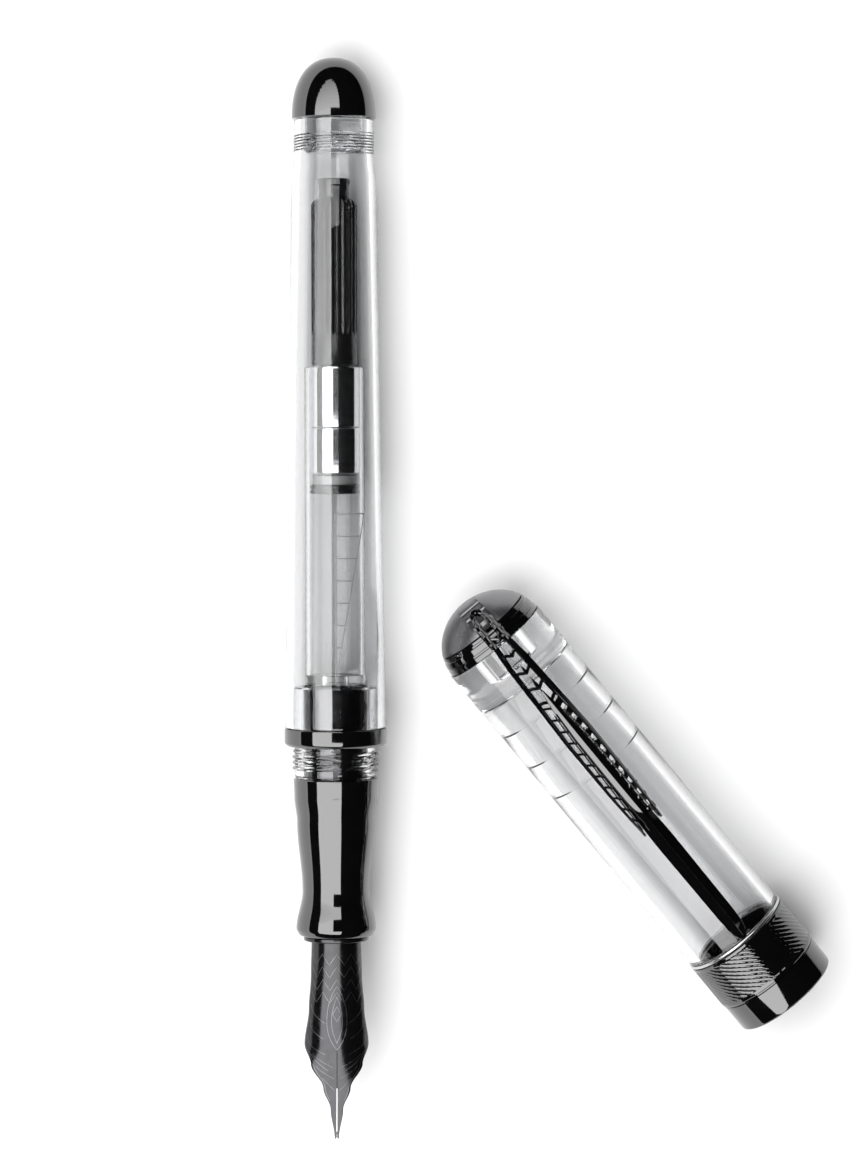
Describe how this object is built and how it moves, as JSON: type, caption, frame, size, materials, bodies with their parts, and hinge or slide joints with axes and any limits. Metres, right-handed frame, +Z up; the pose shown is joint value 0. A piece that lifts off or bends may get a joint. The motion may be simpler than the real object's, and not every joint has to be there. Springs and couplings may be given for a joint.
{
  "type": "fountain pen",
  "caption": "Clear-barrelled screw-cap fountain pen lying open beside its cap, with a twist converter, a black grip, an engraved black nib and a ladder clip.",
  "frame": {"origin": "centre of the bounding box at the height of the table that the pen and its cap lie on", "axes": "+Y along the pen towards the rounded end of the barrel, +X towards the side where the cap lies, +Z up from the table"},
  "size_m": [0.0656, 0.1278, 0.0147],
  "materials": {
    "clear_resin": "polished clear resin",
    "gloss_black": "polished black",
    "satin_gunmetal": "satin gunmetal",
    "black_plated": "black plated",
    "black_plastic": "satin",
    "chrome": "polished",
    "steel": "satin",
    "white_plastic": "satin",
    "rubber": "moulded"
  },
  "bodies": {
    "barrel": {"barrel_tube": "clear_resin"},
    "end_dome_plug": {"end_dome_plug": "clear_resin"},
    "end_dome": {"end_dome": "gloss_black"},
    "section": {"trim_ring": "gloss_black", "thread_collar": "clear_resin", "converter_socket": "black_plated", "grip": "gloss_black", "grip_end_ring": "black_plated"},
    "nib_unit": {"nib": "black_plated", "nib_tipping": "steel", "feed": "black_plastic"},
    "converter": {"converter_tube": "clear_resin", "converter_sleeve_front": "chrome", "converter_sleeve_rear": "chrome"},
    "converter_knob": {"converter_knob": "black_plastic", "converter_knob_cap": "black_plastic", "converter_drive_nut": "chrome"},
    "piston": {"piston_rod": "white_plastic", "piston_head": "white_plastic", "piston_seal": "rubber"},
    "cap_bead": {"cap_bead_ring": "black_plated"},
    "cap": {"cap_tube": "clear_resin", "cap_band": "gloss_black", "clip_ring": "gloss_black", "cap_dome": "satin_gunmetal", "cap_dome_plug": "clear_resin"},
    "clip": {"clip": "gloss_black"}
  },
  "joints": [
    {"name": "section_pull", "type": "slide", "parent": "barrel", "child": "section", "axis": [0, -0.9999, 0.0155], "range_m": [0, 0.076]},
    {"name": "nib_unit_pull", "type": "slide", "parent": "section", "child": "nib_unit", "axis": [0, 0.9999, -0.0155], "range_m": [-0.018, 0]},
    {"name": "converter_pull", "type": "slide", "parent": "section", "child": "converter", "axis": [0, 0.9999, -0.0155], "range_m": [0, 0.01]},
    {"name": "converter_knob_turn", "type": "hinge", "parent": "converter", "child": "converter_knob", "pos_m": [-0.02664, 0.02772, 0.00542], "axis": [0, 0.9999, -0.0155], "range_deg": [0, 2881]},
    {"name": "piston_slide", "type": "slide", "parent": "converter", "child": "piston", "axis": [0, -0.9999, 0.0155], "range_m": [0, 0.021]},
    {"name": "end_dome_turn", "type": "hinge", "parent": "end_dome_plug", "child": "end_dome", "pos_m": [-0.02664, 0.05667, 0.00497], "axis": [0, 0.9999, -0.0155], "range_deg": [0, 2161]},
    {"name": "end_dome_unscrew", "type": "slide", "parent": "barrel", "child": "end_dome_plug", "axis": [0, 0.9999, -0.0155], "range_m": [0, 0.00408]},
    {"name": "cap_swing", "type": "hinge", "parent": "barrel", "child": "cap_bead", "pos_m": [0.00882, -0.08043, 0.00719], "axis": [0.0011, -0.0106, -0.9999], "range_deg": [0, 219.68]},
    {"name": "cap_turn", "type": "hinge", "parent": "cap_bead", "child": "cap", "pos_m": [0.02789, -0.04787, 0.00687], "axis": [0.6385, -0.7696, 0.0039], "range_deg": [0, 450]},
    {"name": "clip_flex", "type": "hinge", "parent": "cap", "child": "clip", "pos_m": [-0.00807, -0.00452, 0.01285], "axis": [-0.7696, -0.6385, 0], "range_deg": [0, 3], "stiffness_Nm_per_rad": 1.2}
  ],
  "couplings": [
    {"joint": "converter_pull", "follows": "section_pull", "ratio": 0.13158},
    {"joint": "converter_knob_turn", "follows": "piston_slide", "rad_per_m": 2393.6},
    {"joint": "end_dome_turn", "follows": "end_dome_unscrew", "rad_per_m": 9240}
  ]
}
